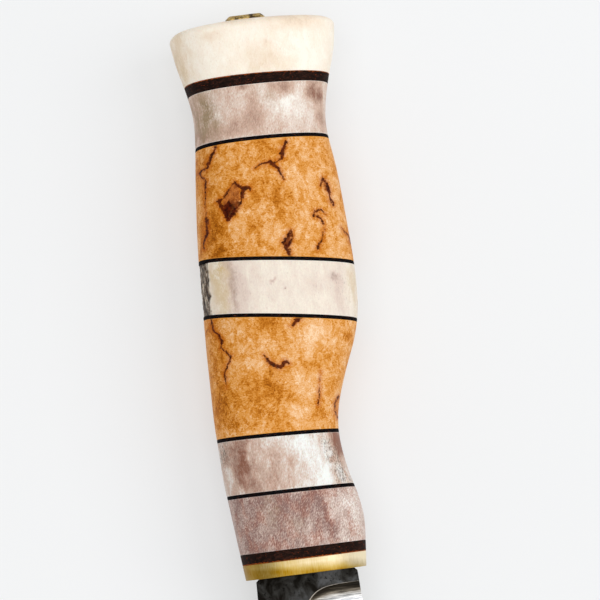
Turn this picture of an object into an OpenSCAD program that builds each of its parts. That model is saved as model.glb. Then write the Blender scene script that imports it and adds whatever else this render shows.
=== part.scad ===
// Nordic belt knife: a forged blade whose stick tang runs through a stack of
// brass, leather, antler and curly birch and is peened over a brass washer.
// Frame: origin at the centre of the bolster's front face, +X to the blade's tip,
// +Y to the cutting edge, +Z out of the blade's side, which is up as the knife lies.

/* [Handle] */
// Handle length, from the bolster's front face to the pommel's end
handle_l = 114.4; // [105:0.2:125]
// Handle height at the belly, from the spine side to the edge side
belly_h = 32.2; // [29:0.2:35]
// Handle thickness at the belly
belly_t = 23; // [20:0.5:26]
// Squareness of the oval section, where 2 is a plain oval
section_power = 2.15; // [2:0.05:2.5]
// How much thicker the section is on its spine side than on its edge side
egg = 0.13; // [0:0.01:0.2]

/* [Stack] */
// Length of the brass bolster along the handle
bolster_l = 3.1; // [2.5:0.1:5]
// Thickness of each thick leather washer
leather_t = 2.2; // [1.5:0.1:2.5]
// Thickness of each thin black spacer
spacer_t = 0.75; // [0.4:0.05:1]
// Slant of the middle antler block's two joints, in degrees
slant = 7; // [0:0.5:9]

/* [Blade] */
// Blade length, from the bolster's face to the tip
blade_l = 95; // [80:1:110]
// Blade height at the bolster
blade_h = 20.8; // [18:0.2:22]
// Blade thickness at the spine
blade_t = 4; // [3:0.1:4.4]
// Height of the ground bevel, from the cutting edge up
bevel_h = 12.2; // [8:0.2:14]
// Thickness left along the cutting edge
edge_t = 0.2; // [0.15:0.05:0.4]

/* [Tang] */
// Tang height where it enters the bolster
tang_h = 12; // [9:0.5:13]
// Tang height where it leaves the pommel
tang_end_h = 4.6; // [4:0.2:5.2]
// Tang thickness
tang_t = 3.4; // [2.8:0.1:3.6]
// Width of the slot that is drilled and filed through the blocks
slot_t = 5.4; // [5:0.1:6]
// Length of the brass washer
washer_l = 8.3; // [7.8:0.1:9]
// Width of the brass washer
washer_w = 6.2; // [5.8:0.1:6.6]
// Thickness of the brass washer
washer_t = 1.7; // [1.2:0.1:2]

/* [Hidden] */

// The nominal handle that the stations below describe.
NOMINAL_L = 114.4;
NOMINAL_BELLY_H = 32.2;
NOMINAL_BELLY_T = 23;
// Stations of the handle's outline: distance back from the bolster's face,
// reach of the spine side, reach of the edge side and half thickness.
STATIONS = [
    [0, 12.5, 12.4, 9.5],
    [5, 13.0, 12.9, 9.7],
    [10, 13.5, 13.2, 9.8],
    [15, 14.0, 12.5, 9.8],
    [20, 14.5, 11.2, 9.8],
    [27, 14.8, 10.3, 10.0],
    [33, 15.0, 10.9, 10.4],
    [40, 14.9, 13.2, 11.0],
    [47, 14.8, 16.0, 11.4],
    [53, 14.6, 17.4, 11.5],
    [61, 14.4, 17.8, 11.5],
    [71, 13.8, 17.4, 11.3],
    [82, 12.8, 16.7, 11.0],
    [91, 11.8, 15.7, 10.7],
    [96, 11.6, 16.2, 10.7],
    [101, 12.3, 17.4, 11.0],
    [107, 13.7, 19.2, 11.7],
    [112, 14.5, 20.0, 12.1],
    [114.4, 14.6, 20.1, 12.2]];
// Blocks of the stack from the bolster back: length on the axis, then the tilt of
// the joint behind the block, in degrees.
STACK = [
    [bolster_l, 0],
    [leather_t, 0],
    [17.3 - bolster_l - leather_t - spacer_t, 0.8],
    [spacer_t, 0.8],
    [11.55 - spacer_t, 1.8],
    [spacer_t, 1.8],
    [24 - spacer_t, slant + 0.5],
    [spacer_t, slant + 0.5],
    [11.7 - spacer_t, slant - 0.3],
    [spacer_t, slant - 0.3],
    [24.85 - spacer_t, 0.8],
    [spacer_t, 0.8],
    [12.9 - leather_t, 0.6],
    [leather_t, 1.2],
    [12.1, 0]];

// Points round each ring of the handle, and the longest step from ring to ring.
RING_POINTS = 56;
RING_STEP = 2.4;
LAST = len(STACK) - 1;

// Rounding of the pommel's end: how far it reaches along the axis and inwards, and
// the low dome inside it with the flat on which the washer sits.
END_ROUND_L = 1.8;
END_ROUND_IN = 2.3;
END_DOME_L = 0.7;
END_FLAT = 0.42;
END_STEPS = 5;

// Offset of the tang's end towards the edge side, and the slot through the pommel.
TANG_END_Y = 1.7;
SLOT_H = tang_h + 1.2;
POMMEL_SLOT_H = 6.6;
POMMEL_SLOT_T = 4.4;
// The last stretch of the tang, which doesn't taper.
TANG_PARALLEL = 12;
// The tang's end is spread by this much on each side inside the washer's slot, and
// filed off this far above the washer.
PEEN_SPREAD = 0.35;
PEEN_PROUD = 0.1;
// The washer's corner radius and the width of its broken top edge.
WASHER_CORNER = 1.5;
WASHER_CUT = 0.75;

// The blade's outline: share of its length, then the reach of the spine side and of
// the edge as shares of the blade's height.
BLADE_STATIONS = [
    [0, 0.5, 0.5],
    [0.1, 0.512, 0.518],
    [0.3, 0.515, 0.535],
    [0.5, 0.505, 0.53],
    [0.64, 0.485, 0.49],
    [0.76, 0.455, 0.38],
    [0.86, 0.42, 0.195],
    [0.94, 0.38, -0.035],
    [1, 0.34, -0.31]];
// Where the bevel begins, how far that line curves along the blade at the top of the
// bevel, and the length over which the bevel comes to its full depth.
PLUNGE_X = 2.8;
PLUNGE_CURVE = 5;
PLUNGE_EASE = 1.6;
// Break on the blade's long corners and on its shoulders, and the rows that cross
// the bevel.
CORNER_BREAK = 0.4;
SHOULDER_BREAK = 0.6;
BEVEL_ROWS = 7;
// Sections along the blade: every PLUNGE_STEP to PLUNGE_END, then longer steps.
PLUNGE_STEP = 0.6;
PLUNGE_END = 9;
BLADE_STEPS = 26;

// ---- curves -------------------------------------------------------------------

// Slope of column k of a station table at row i, from its two neighbours.
function slope(table, k, i) =
    let (a = max(i - 1, 0), b = min(i + 1, len(table) - 1))
    (table[b][k] - table[a][k]) / (table[b][0] - table[a][0]);

// The row of the table that begins the stretch holding x.
function row_at(table, x, i = 0) =
    i >= len(table) - 2 || x < table[i + 1][0] ? i : row_at(table, x, i + 1);

// Column k of the table at x, on a smooth cubic through the stations.
function smooth(table, k, x) =
    let (i = row_at(table, x),
         d = table[i + 1][0] - table[i][0],
         u = min(max((x - table[i][0]) / d, 0), 1),
         p0 = table[i][k], p1 = table[i + 1][k],
         m0 = slope(table, k, i) * d, m1 = slope(table, k, i + 1) * d)
    p0 * (2 * u * u * u - 3 * u * u + 1) + m0 * (u * u * u - 2 * u * u + u)
    + p1 * (3 * u * u - 2 * u * u * u) + m1 * (u * u * u - u * u);

function power_of(v, p) = sign(v) * pow(abs(v), p);

// ---- handle -------------------------------------------------------------------

// Reach of the spine side, reach of the edge side and half thickness at x, which is
// zero or negative along the handle.
function outline(x) =
    let (s = min(-x * NOMINAL_L / handle_l, NOMINAL_L))
    [smooth(STATIONS, 1, s) * belly_h / NOMINAL_BELLY_H,
     smooth(STATIONS, 2, s) * belly_h / NOMINAL_BELLY_H,
     smooth(STATIONS, 3, s) * belly_t / NOMINAL_BELLY_T];

// A point of the oval section at angle a, with the section drawn in by inset and
// scaled by grow.
function section(x, a, inset, grow) =
    let (o = outline(x),
         half = ((o[0] + o[1]) / 2 - inset) * grow,
         mid = (o[1] - o[0]) / 2)
    [x, mid + half * power_of(cos(a), 2 / section_power),
     (o[2] - inset) * grow * power_of(sin(a), 2 / section_power) * (1 - egg * cos(a))];

// A ring of points on the plane that crosses the axis at x and tilts by m in Y.
function ring(x, m, inset = 0, grow = 1) =
    [for (i = [0:RING_POINTS - 1])
        let (a = 360 * i / RING_POINTS,
             y1 = section(x, a, inset, grow)[1],
             y2 = section(x + m * y1, a, inset, grow)[1],
             p = section(x + m * y2, a, inset, grow))
        [x + m * p[1], p[1], p[2]]];

// A closed solid through a list of rings that run from the front to the back. Each end
// is closed by strips that join points facing each other across the ring.
module through(rings) {
    n = len(rings[0]);
    last = len(rings) - 1;
    strips = [for (i = [0:n / 2 - 2]) [i, i + 1, n - 2 - i, n - 1 - i]];
    polyhedron(
        points = [for (r = rings) for (p = r) p],
        faces = concat(
            strips,
            [for (f = strips) [for (i = [3:-1:0]) last * n + f[i]]],
            [for (r = [0:last - 1]) for (i = [0:n - 1])
                let (j = (i + 1) % n, a = r * n, b = a + n)
                for (f = [[a + i, b + i, b + j], [a + i, b + j, a + j]]) f]),
        convexity = 4);
}

// Where block i begins, and the tilt of the joint at its front.
function sum_to(i, k = 0) = k >= i ? 0 : STACK[k][0] + sum_to(i, k + 1);
function front_x(i) = -sum_to(i) * handle_l / NOMINAL_L;
function front_tilt(i) = i == 0 ? 0 : tan(STACK[i - 1][1]);

// Rings of block i from its front joint over this share of its length.
function block_rings(i, share = 1) =
    let (x0 = front_x(i), x1 = x0 + (front_x(i + 1) - x0) * share,
         steps = max(1, ceil((x0 - x1) / RING_STEP)))
    [for (s = [0:steps]) let (u = s / steps)
        ring(x0 + (x1 - x0) * u,
            front_tilt(i) + (front_tilt(i + 1) - front_tilt(i)) * u * share)];

// Rings of the pommel's rounded rim, then of the low dome up to the washer's flat.
function pommel_end_rings() =
    let (x0 = -handle_l + END_ROUND_L + END_DOME_L)
    concat(
        [for (s = [1:END_STEPS]) let (a = 90 * s / END_STEPS)
            ring(x0 - END_ROUND_L * sin(a), 0, END_ROUND_IN * (1 - cos(a)))],
        [for (g = [0.8, 0.6, END_FLAT])
            ring(-handle_l + END_DOME_L * pow((g - END_FLAT) / (1 - END_FLAT), 2), 0,
                END_ROUND_IN, g)]);

// A bar along X whose section is a slot with round ends, from x0 back by l.
module slot_bar(x0, l, h, t, y) {
    translate([x0, y, 0]) rotate([0, -90, 0]) linear_extrude(l) {
        square([t, h - t], center = true);
        for (side = [-1, 1]) translate([0, side * (h - t) / 2]) circle(d = t, $fn = 32);
    }
}

// The slot through the blocks and the narrower one through the pommel. Each can run
// past its ends so that it cuts cleanly.
module block_slot(past = 0) {
    slot_bar(front_x(1) + past, front_x(1) - front_x(LAST) + 2 * past, SLOT_H, slot_t, 0);
}

module pommel_slot(past = 0) {
    slot_bar(front_x(LAST) + 1, handle_l + front_x(LAST) + 1 + past,
        POMMEL_SLOT_H, POMMEL_SLOT_T, TANG_END_Y);
}

// All the space behind the front joint of block i.
module behind(i) {
    translate([front_x(i), 0, 0]) rotate([0, 0, -atan(front_tilt(i))])
        translate([-handle_l, -handle_l / 2, -handle_l / 2]) cube(handle_l);
}

// The tang as a flat bar that tapers to its end, where it spreads in the washer.
module tang() {
    end_x = -handle_l - washer_t - PEEN_PROUD;
    end_h = tang_end_h / 2;
    side = [[1, tang_h / 2], [TANG_PARALLEL - handle_l, TANG_END_Y + end_h],
        [-handle_l - washer_t / 3, TANG_END_Y + end_h],
        [end_x, TANG_END_Y + end_h + PEEN_SPREAD]];
    back = [[end_x, TANG_END_Y - end_h - PEEN_SPREAD],
        [-handle_l - washer_t / 3, TANG_END_Y - end_h],
        [TANG_PARALLEL - handle_l, TANG_END_Y - end_h], [1, -tang_h / 2]];
    translate([0, 0, -tang_t / 2]) linear_extrude(tang_t) polygon(concat(side, back));
}

// An oblong l by w with round corners, its length along Y once it is stood up.
module rounded_oblong(l, w, r) {
    offset(r, $fn = 32) square([w - 2 * r, l - 2 * r], center = true);
}

// A thick washer with round corners, its foot on the plane x and its top edge broken.
module broken_edge_washer(x, l, w, t, cut) {
    translate([x, TANG_END_Y, 0]) rotate([0, -90, 0]) hull() {
        linear_extrude(t - cut) rounded_oblong(l, w, WASHER_CORNER);
        linear_extrude(t) rounded_oblong(l - 2 * cut, w - 2 * cut, WASHER_CORNER - cut);
    }
}

// Block i of the stack with the hole that the tang runs in.
module block(i, shade) {
    pommel_l = handle_l + front_x(LAST);
    straight = (pommel_l - END_ROUND_L - END_DOME_L) / pommel_l;
    color(shade) difference() {
        through(i == LAST ? concat(block_rings(i, straight), pommel_end_rings())
            : block_rings(i));
        if (i == 0) tang();
        else if (i == LAST) pommel_slot(1);
        else block_slot(1);
    }
}

// ---- blade --------------------------------------------------------------------

// The blade's spine and edge at x, drawn in a little at the shoulders.
function shoulder(x) = max(0, SHOULDER_BREAK - x);
function spine_y(x) = shoulder(x) - blade_h * smooth(BLADE_STATIONS, 1, x / blade_l);
function edge_y(x) = blade_h * smooth(BLADE_STATIONS, 2, x / blade_l) - shoulder(x);

// How far the edge turns away from the axis at x.
function edge_turn(x) =
    let (a = max(x - 1, SHOULDER_BREAK), b = min(max(x, a) + 1, blade_l))
    atan((edge_y(b) - edge_y(a)) / (b - a));

// The line where the bevel meets the flat, kept a little below the spine.
function grind_y(x) =
    max(edge_y(x) - bevel_h / cos(edge_turn(x)), spine_y(x) + 0.12 * (edge_y(x) - spine_y(x)));

// How much of the bevel is cut at x and y: none before the plunge line, all after it.
function plunge_share(x, y) =
    let (up = max(0, min(1, (edge_y(x) - y) / bevel_h)),
         s = max(0, min(1, (x - PLUNGE_X - PLUNGE_CURVE * pow(up, 5)) / PLUNGE_EASE)))
    s * s * (3 - 2 * s);

// Half of the blade's thickness at x and y, under one flat bevel on each side.
function half_thickness(x, y) =
    let (reach = (edge_y(x) - y) * cos(edge_turn(x)),
         bevel = edge_t / 2 + reach * (blade_t - edge_t) / 2 / bevel_h)
    blade_t / 2 - (blade_t / 2 - min(blade_t / 2, bevel)) * plunge_share(x, y);

// One side of the blade's section at x, from the spine to the edge, with both corners
// broken where the blade is at its full thickness.
function blade_side(x, side) =
    let (top = spine_y(x), low = edge_y(x), line = grind_y(x),
         cut = min(CORNER_BREAK, 0.05 * (low - top)),
         rows = concat([top + cut],
             [for (r = [0:BEVEL_ROWS - 1]) line + (low - cut - line) * r / (BEVEL_ROWS - 1)]))
    concat([[x, top, side * max(half_thickness(x, top) - cut, edge_t / 2)]],
        [for (y = rows) [x, y, side * half_thickness(x, y)]],
        [[x, low, side * min(half_thickness(x, low), blade_t / 2 - cut)]]);

function reversed(list) = [for (i = [len(list) - 1:-1:0]) list[i]];

// Places of the blade's sections, closer together at the plunge.
function blade_places() =
    let (rest = blade_l - PLUNGE_END)
    concat([for (x = [0:PLUNGE_STEP:PLUNGE_END - PLUNGE_STEP / 2]) x],
        [for (s = [0:BLADE_STEPS]) PLUNGE_END + rest * s / BLADE_STEPS]);

// The forged blade, its tang and the tang's peened end, all one piece of steel.
module blade() {
    color("dimgray") {
        through([for (x = reversed(blade_places()))
            concat(blade_side(x, 1), reversed(blade_side(x, -1)))]);
        tang();
    }
}

// ---- end of the tang ----------------------------------------------------------

module tang_washer() {
    color("darkgoldenrod") difference() {
        broken_edge_washer(-handle_l, washer_l, washer_w, washer_t, WASHER_CUT);
        tang();
    }
}

// Cured resin that fills the slots around the tang.
module tang_bedding() {
    color("khaki") difference() {
        union() {
            difference() {
                block_slot();
                behind(LAST);
            }
            pommel_slot();
        }
        tang();
    }
}

blade();
block(0, "goldenrod");  // bolster
block(1, "#3a1f14");  // front_leather
block(2, "#b5a199");  // front_antler
block(3, "#15110f");  // thin_spacer_1
block(4, "#cbbdb4");  // groove_antler
block(5, "#15110f");  // thin_spacer_2
block(6, "#cf9250");  // front_birch
block(7, "#15110f");  // thin_spacer_3
block(8, "#ded7cb");  // middle_antler
block(9, "#15110f");  // thin_spacer_4
block(10, "#cf9250");  // rear_birch
block(11, "#15110f");  // thin_spacer_5
block(12, "#c9bbb2");  // neck_antler
block(13, "#3a1f14");  // rear_leather
block(LAST, "#f1e7d3");  // pommel_cap
tang_washer();
tang_bedding();
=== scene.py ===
"""Nordic belt knife with a stacked handle of brass, leather, antler and curly birch.

Shapes are worked out in millimetres in the part's own frame (+X to the tip, +Y to the
cutting edge, +Z up as the knife lies) and turned to metres when a mesh is made."""

import bpy
import math
import numpy as np
from mathutils import Matrix, Vector


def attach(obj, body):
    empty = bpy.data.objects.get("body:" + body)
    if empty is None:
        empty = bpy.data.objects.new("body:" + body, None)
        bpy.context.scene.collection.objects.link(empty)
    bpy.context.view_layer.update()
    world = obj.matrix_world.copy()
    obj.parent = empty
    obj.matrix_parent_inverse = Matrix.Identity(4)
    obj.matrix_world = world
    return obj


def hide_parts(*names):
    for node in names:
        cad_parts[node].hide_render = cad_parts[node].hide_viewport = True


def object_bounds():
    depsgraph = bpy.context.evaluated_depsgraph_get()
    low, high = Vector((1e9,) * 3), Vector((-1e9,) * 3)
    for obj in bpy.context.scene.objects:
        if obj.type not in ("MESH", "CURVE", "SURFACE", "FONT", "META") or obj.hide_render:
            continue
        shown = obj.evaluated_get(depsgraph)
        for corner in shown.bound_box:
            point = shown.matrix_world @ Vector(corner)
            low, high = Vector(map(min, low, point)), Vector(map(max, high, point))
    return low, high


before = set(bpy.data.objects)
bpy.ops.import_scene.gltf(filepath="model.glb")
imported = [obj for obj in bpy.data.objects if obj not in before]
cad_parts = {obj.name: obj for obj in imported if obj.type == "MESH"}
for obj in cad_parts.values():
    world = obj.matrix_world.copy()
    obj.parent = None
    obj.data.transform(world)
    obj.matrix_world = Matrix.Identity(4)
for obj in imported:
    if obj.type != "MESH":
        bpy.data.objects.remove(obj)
cad_low, cad_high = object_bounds()

MM = 0.001

# ---- the handle's shape, the same as the CAD's -------------------------------------

HANDLE_L = 114.4
BELLY_POWER = 2 / 2.15
EGG = 0.13
# how far the finished skin lies inside the CAD's, in millimetres
SKIN_IN = 0.03
# distance back from the bolster's face, spine reach, edge reach, half thickness
STATIONS = np.array([
    [0, 12.5, 12.4, 9.5],
    [5, 13.0, 12.9, 9.7],
    [10, 13.5, 13.2, 9.8],
    [15, 14.0, 12.5, 9.8],
    [20, 14.5, 11.2, 9.8],
    [27, 14.8, 10.3, 10.0],
    [33, 15.0, 10.9, 10.4],
    [40, 14.9, 13.2, 11.0],
    [47, 14.8, 16.0, 11.4],
    [53, 14.6, 17.4, 11.5],
    [61, 14.4, 17.8, 11.5],
    [71, 13.8, 17.4, 11.3],
    [82, 12.8, 16.7, 11.0],
    [91, 11.8, 15.7, 10.7],
    [96, 11.6, 16.2, 10.7],
    [101, 12.3, 17.4, 11.0],
    [107, 13.7, 19.2, 11.7],
    [112, 14.5, 20.0, 12.1],
    [114.4, 14.6, 20.1, 12.2]])
# node, place of its front joint on the axis, tilt of that joint in degrees
STACK = [
    ("bolster", 0, 0),
    ("front_leather", -3.1, 0),
    ("front_antler", -5.3, 0),
    ("thin_spacer_1", -16.55, 0.8),
    ("groove_antler", -17.3, 0.8),
    ("thin_spacer_2", -28.1, 1.8),
    ("front_birch", -28.85, 1.8),
    ("thin_spacer_3", -52.1, 7.5),
    ("middle_antler", -52.85, 7.5),
    ("thin_spacer_4", -63.8, 6.7),
    ("rear_birch", -64.55, 6.7),
    ("thin_spacer_5", -88.65, 0.8),
    ("neck_antler", -89.4, 0.8),
    ("rear_leather", -100.1, 0.6),
    ("pommel_cap", -102.3, 1.2)]
# points round a block, and round the blocks whose marks are finer
AROUND = 420
FINE_AROUND = 560
# how far the middle of the tang's end lies towards the edge side
TANG_END_Y = 1.7
# a distance that stands for no line nearby
FAR = 99.0


def smooth_table(table, column, x):
    """One column of a station table at x: a cubic through the stations whose slope at
    each station is the slope between its two neighbours."""
    place, value = table[:, 0], table[:, column]
    last = len(place) - 1
    before = np.maximum(np.arange(last + 1) - 1, 0)
    after = np.minimum(np.arange(last + 1) + 1, last)
    slope = (value[after] - value[before]) / (place[after] - place[before])
    x = np.clip(x, place[0], place[-1])
    i = np.clip(np.searchsorted(place, x, side="right") - 1, 0, last - 1)
    d = place[i + 1] - place[i]
    u = (x - place[i]) / d
    return (value[i] * (2 * u**3 - 3 * u**2 + 1) + slope[i] * d * (u**3 - 2 * u**2 + u)
            + value[i + 1] * (3 * u**2 - 2 * u**3) + slope[i + 1] * d * (u**3 - u**2))


def signed_power(value, power):
    """The sign of value times its size raised to power."""
    return np.sign(value) * np.abs(value) ** power


def section(x, angle, inset):
    """Y and Z of the handle's oval section at x and angle: half height times cos to a
    power, half thickness times sin to that power, thinner towards the edge side by the
    egg share times cos. Inset draws the oval in, on top of SKIN_IN."""
    inset = inset + SKIN_IN
    spine = smooth_table(STATIONS, 1, -x)
    edge = smooth_table(STATIONS, 2, -x)
    thick = smooth_table(STATIONS, 3, -x)
    half = (spine + edge) / 2 - inset
    y = (edge - spine) / 2 + half * signed_power(np.cos(angle), BELLY_POWER)
    z = (thick - inset) * signed_power(np.sin(angle), BELLY_POWER) * (1 - EGG * np.cos(angle))
    return y, z


def on_joint(x0, tilt, angle, inset):
    """X, Y and Z where the handle's skin crosses the plane X = x0 + tilt times Y, found
    by stepping between the plane and the section."""
    y, z = section(x0 + 0 * angle, angle, inset)
    for _ in range(3):
        y, z = section(x0 + tilt * y, angle, inset)
    return x0 + tilt * y, y, z


def slot_outline(angle, height, thick, middle):
    """Y and Z of a slot with round ends: a circle whose two halves are moved apart."""
    y = middle + np.sign(np.cos(angle)) * (height - thick) / 2 + thick / 2 * np.cos(angle)
    return y, thick / 2 * np.sin(angle)


def lattice_noise(points, seed):
    """Smooth random values from 0 to 1: a whole-number mix of each lattice corner gives
    its value, and a cubic step blends the eight corners round a point."""
    cell = np.floor(points).astype(np.int64)
    part = points - cell
    part = part * part * (3 - 2 * part)
    total = 0
    for corner in range(8):
        step = np.array([corner & 1, corner >> 1 & 1, corner >> 2 & 1])
        at = cell + step
        mix = at[..., 0] * 73856093 ^ at[..., 1] * 19349663 ^ at[..., 2] * 83492791
        mix = mix ^ seed * 2654435761
        mix = (mix ^ mix >> 13) * 1274126177 & 0x7FFFFFFF
        mix = (mix ^ mix >> 16) & 0xFFFF
        weight = np.prod(np.where(step == 1, part, 1 - part), axis=-1)
        total = total + weight * mix / 0xFFFF
    return total


def layered_noise(points, seed, layers=4):
    """Sum of lattice noises, each twice as fine and half as strong as the one before."""
    total, strength, whole = 0, 1.0, 0.0
    for layer in range(layers):
        total = total + strength * lattice_noise(points * 2**layer, seed + layer)
        whole += strength
        strength /= 2
    return total / whole


def stroke_gap(x, y, marks):
    """Distance to a drawn line of (x, y, half width) marks, less its half width there:
    each stretch is a straight taper, and the nearest stretch counts. Where a half width
    is below zero, the line shows only in the places that a finish's noise thickens."""
    nearest = np.full(np.shape(x), FAR)
    for (x0, y0, w0), (x1, y1, w1) in zip(marks[:-1], marks[1:]):
        run_x, run_y = x1 - x0, y1 - y0
        share = np.clip(((x - x0) * run_x + (y - y0) * run_y) / (run_x**2 + run_y**2), 0, 1)
        gap = np.hypot(x - x0 - share * run_x, y - y0 - share * run_y)
        nearest = np.minimum(nearest, gap - w0 - share * (w1 - w0))
    return nearest


# ---- making meshes ------------------------------------------------------------------

def surface(name, points, ring, sharp=35):
    """A closed mesh from a grid of points in millimetres, rows by columns. The columns
    wrap round. The rows wrap too if ring is set, and if not, one face closes each end.
    The faces are turned outwards by the sign of the enclosed volume."""
    rows, columns = points.shape[:2]
    row = np.arange(rows if ring else rows - 1)[:, None]
    column = np.arange(columns)[None, :]
    here, there = row * columns, (row + 1) % rows * columns
    nearby = (column + 1) % columns
    quads = np.stack([here + column, here + nearby, there + nearby, there + column], axis=-1)
    quads = quads.reshape(-1, 4)
    flat = points.reshape(-1, 3) * MM
    a, b, c, d = (flat[quads[:, k]] for k in range(4))
    volume = np.sum(np.cross(a, b) * c) + np.sum(np.cross(a, c) * d)
    loops = [quads.ravel()]
    totals = [np.full(len(quads), 4)]
    if not ring:
        first, last = np.arange(columns)[::-1], np.arange(columns) + (rows - 1) * columns
        for cap in (first, last):
            loops.append(cap)
            totals.append(np.array([columns]))
            fan = flat[cap]
            volume += np.sum(np.cross(fan[:1], fan[1:-1]) * fan[2:])
    totals = np.concatenate(totals)
    starts = np.concatenate([[0], np.cumsum(totals)[:-1]])
    loops = np.concatenate(loops)
    mesh = bpy.data.meshes.new(name)
    mesh.vertices.add(len(flat))
    mesh.vertices.foreach_set("co", flat.astype(np.float32).ravel())
    mesh.loops.add(len(loops))
    mesh.loops.foreach_set("vertex_index", loops.astype(np.int32))
    mesh.polygons.add(len(totals))
    mesh.polygons.foreach_set("loop_start", starts.astype(np.int32))
    mesh.polygons.foreach_set("loop_total", totals.astype(np.int32))
    mesh.update(calc_edges=True)
    if volume < 0:
        mesh.flip_normals()
    mesh.polygons.foreach_set("use_smooth", np.ones(len(totals), bool))
    mesh.set_sharp_from_angle(angle=math.radians(sharp))
    mesh.validate()
    piece = bpy.data.objects.new(name, mesh)
    bpy.context.scene.collection.objects.link(piece)
    return piece


def paint(piece, name, values):
    """Stores one number per vertex under this name for the piece's material to read."""
    layer = piece.data.attributes.new(name, "FLOAT", "POINT")
    layer.data.foreach_set("value", np.asarray(values, np.float32).ravel())


# ---- materials ----------------------------------------------------------------------

def srgb(red, green, blue):
    """A colour from display values of 0 to 255 to the linear light that shaders use."""
    shown = np.array([red, green, blue]) / 255
    light = np.where(shown <= 0.04045, shown / 12.92, ((shown + 0.055) / 1.055) ** 2.4)
    return (*light.tolist(), 1)


class Finish:
    """A material and short ways to add nodes to it. Lengths in its patterns are in
    millimetres, because its point is the object position times a thousand."""

    def __init__(self, name):
        self.material = bpy.data.materials.new(name)
        self.material.use_nodes = True
        self.nodes = self.material.node_tree.nodes
        self.links = self.material.node_tree.links
        self.shader = self.nodes["Principled BSDF"]
        place = self.nodes.new("ShaderNodeTexCoord").outputs["Object"]
        self.point = self.placed((1 / MM, 1 / MM, 1 / MM), point=place)

    def feed(self, socket, value):
        """Links a socket to an output, or sets its value."""
        if isinstance(value, bpy.types.NodeSocket):
            self.links.new(value, socket)
        else:
            socket.default_value = value

    def put(self, name, value):
        """Gives the shader's input of this name an output or a value."""
        self.feed(self.shader.inputs[name], value)

    def math(self, operation, a, b=0.0, c=0.0):
        node = self.nodes.new("ShaderNodeMath")
        node.operation = operation
        for socket, value in zip(node.inputs, (a, b, c)):
            self.feed(socket, value)
        return node.outputs[0]

    def plus(self, value, pattern, weight):
        """The value plus weight times the pattern."""
        return self.math("MULTIPLY_ADD", pattern, weight, value)

    def vary(self, value, pattern, weight):
        """The value plus weight times the pattern's distance from its middle, 0.5."""
        return self.plus(value, self.math("SUBTRACT", pattern, 0.5), weight)

    def placed(self, scale, move=(0, 0, 0), turn=0.0, point=None):
        """The point scaled, then turned about Z by degrees, then moved."""
        node = self.nodes.new("ShaderNodeMapping")
        self.feed(node.inputs["Vector"], point or self.point)
        node.inputs["Location"].default_value = move
        node.inputs["Rotation"].default_value = (0, 0, math.radians(turn))
        node.inputs["Scale"].default_value = scale
        return node.outputs[0]

    def noise(self, point, detail=3.0, rough=0.55, bend=0.0):
        node = self.nodes.new("ShaderNodeTexNoise")
        self.feed(node.inputs["Vector"], point)
        node.inputs["Scale"].default_value = 1.0
        node.inputs["Detail"].default_value = detail
        node.inputs["Roughness"].default_value = rough
        node.inputs["Distortion"].default_value = bend
        return node.outputs["Fac"]

    def cells(self, point):
        """Distance to the middle of the nearest cell."""
        node = self.nodes.new("ShaderNodeTexVoronoi")
        self.feed(node.inputs["Vector"], point)
        node.inputs["Scale"].default_value = 1.0
        return node.outputs["Distance"]

    def step(self, value, low, high):
        """0 below low and 1 above high with a smooth rise between, or the reverse if
        low is the larger."""
        node = self.nodes.new("ShaderNodeMapRange")
        node.interpolation_type = "SMOOTHSTEP"
        self.feed(node.inputs["Value"], value)
        self.feed(node.inputs["From Min"], min(low, high))
        self.feed(node.inputs["From Max"], max(low, high))
        node.inputs["To Min"].default_value = 0.0 if low < high else 1.0
        node.inputs["To Max"].default_value = 1.0 if low < high else 0.0
        return node.outputs["Result"]

    def mix(self, share, a, b, way="MIX"):
        node = self.nodes.new("ShaderNodeMix")
        node.data_type = "RGBA"
        node.blend_type = way
        self.feed(node.inputs["Factor"], share)
        self.feed(node.inputs[6], a)
        self.feed(node.inputs[7], b)
        return node.outputs[2]

    def ramp(self, value, stops):
        """Colours blended along a value: stops are (place, colour)."""
        node = self.nodes.new("ShaderNodeValToRGB")
        self.feed(node.inputs["Fac"], value)
        band = node.color_ramp.elements
        while len(band) < len(stops):
            band.new(1.0)
        for mark, (place, colour) in zip(band, stops):
            mark.position = place
            mark.color = colour
        return node.outputs["Color"]

    def painted(self, name):
        node = self.nodes.new("ShaderNodeAttribute")
        node.attribute_name = name
        return node.outputs["Fac"]

    def bump(self, height, depth):
        """Relief of this height pattern on top of any before it, depth in millimetres."""
        node = self.nodes.new("ShaderNodeBump")
        self.feed(node.inputs["Height"], height)
        node.inputs["Distance"].default_value = depth * MM
        normal = self.shader.inputs["Normal"]
        if normal.is_linked:
            self.links.new(normal.links[0].from_socket, node.inputs["Normal"])
        self.links.new(node.outputs[0], normal)


# ---- the blocks of the handle -------------------------------------------------------

# radius of the small round at a block's rims, and the places of the first rows next to
# a rim, measured from the joint
RIM = 0.07
FINE_ENDS = np.array([0.08, 0.17, 0.28, 0.42])
# shares of the way from the skin in to the hole at which a face has its rows
FACE_ROWS = np.array([0.12, 0.4, 0.75, 1.0])


def wall_places(length, pitch):
    """Distances along a block's wall from 0 to length: close together at both ends,
    where the joints are, and a pitch apart between them. A thin block has even rows."""
    if length < 4 * FINE_ENDS[-1]:
        return np.linspace(0, length, int(length / 0.12))
    inner = np.linspace(FINE_ENDS[-1], length - FINE_ENDS[-1], int(length / pitch) + 2)
    return np.concatenate([[0], FINE_ENDS[:-1], inner, length - FINE_ENDS[-2::-1], [length]])


def rim_inset(near):
    """How far the small round draws the wall in at this distance from the joint."""
    return RIM - np.sqrt(np.maximum(RIM**2 - np.maximum(RIM - near, 0) ** 2, 0))


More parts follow.
